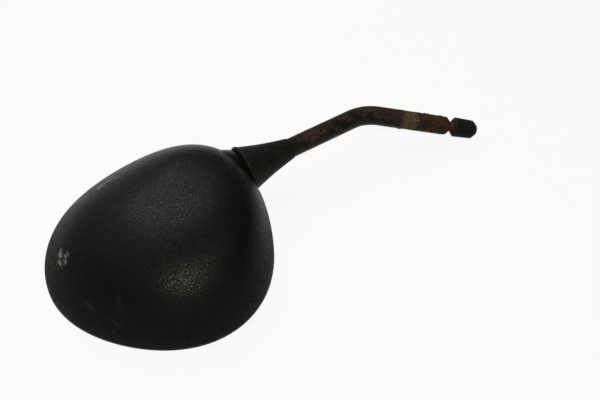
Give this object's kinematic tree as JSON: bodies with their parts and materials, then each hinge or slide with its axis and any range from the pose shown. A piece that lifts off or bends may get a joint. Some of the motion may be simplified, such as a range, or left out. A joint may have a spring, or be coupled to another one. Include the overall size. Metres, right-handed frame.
{
  "type": "motorcycle mirror",
  "caption": "Round-backed rear-view mirror head on a ball joint, with a rubber boot, a bent round stem and a capped thread.",
  "frame": {"origin": "centre of the shoulder where the stem's thread starts", "axes": "+X along the stem's straight first run, away from the head; +Z out of the head's back, up as it lies glass down; +Y to the left of the stem"},
  "size_m": [0.309, 0.141, 0.0513],
  "materials": {
    "housing_plastic": "finely grained, scuffed",
    "bezel_plastic": "satin moulded",
    "mirror": "polished, silvered at the back",
    "foam": "soft foam with adhesive faces",
    "stem_paint": "black paint, flaked and rusty",
    "boot_rubber": "smooth matt",
    "cap_plastic": "matt",
    "cast_alloy": "as cast",
    "steel": "zinc plated",
    "nylon": "natural, greased"
  },
  "bodies": {
    "stem": {"stem": "stem_paint", "pivot_ball": "steel", "ball_pin": "steel", "boot": "boot_rubber"},
    "cap": {"thread_cap": "cap_plastic"},
    "seat": {"ball_seat": "nylon"},
    "ring": {"ball_ring": "nylon"},
    "head": {"housing": "housing_plastic", "front_bezel": "bezel_plastic", "mirror_glass": "mirror", "glass_pad": "foam", "carrier_plate": "bezel_plastic", "carrier_screws": "steel", "socket_block": "cast_alloy", "block_screws": "steel", "clamp_plate": "cast_alloy", "clamp_screws": "steel", "clamp_springs": "steel", "clamp_washers": "steel"}
  },
  "joints": [
    {"name": "head_twist", "type": "hinge", "parent": "stem", "child": "seat", "pos_m": [-0.15958, 0.02855, 0.01626], "axis": [1, 0, 0], "continuous": true},
    {"name": "head_turn", "type": "hinge", "parent": "seat", "child": "ring", "pos_m": [-0.15958, 0.02855, 0.01626], "axis": [0, 0, 1], "range_deg": [-10, 10]},
    {"name": "head_tilt", "type": "hinge", "parent": "ring", "child": "head", "pos_m": [-0.15958, 0.02855, 0.01626], "axis": [0, 1, 0], "range_deg": [-10, 10]},
    {"name": "cap_pull", "type": "slide", "parent": "stem", "child": "cap", "axis": [0.848, -0.4605, -0.2622], "range_m": [0, 0.016]}
  ]
}
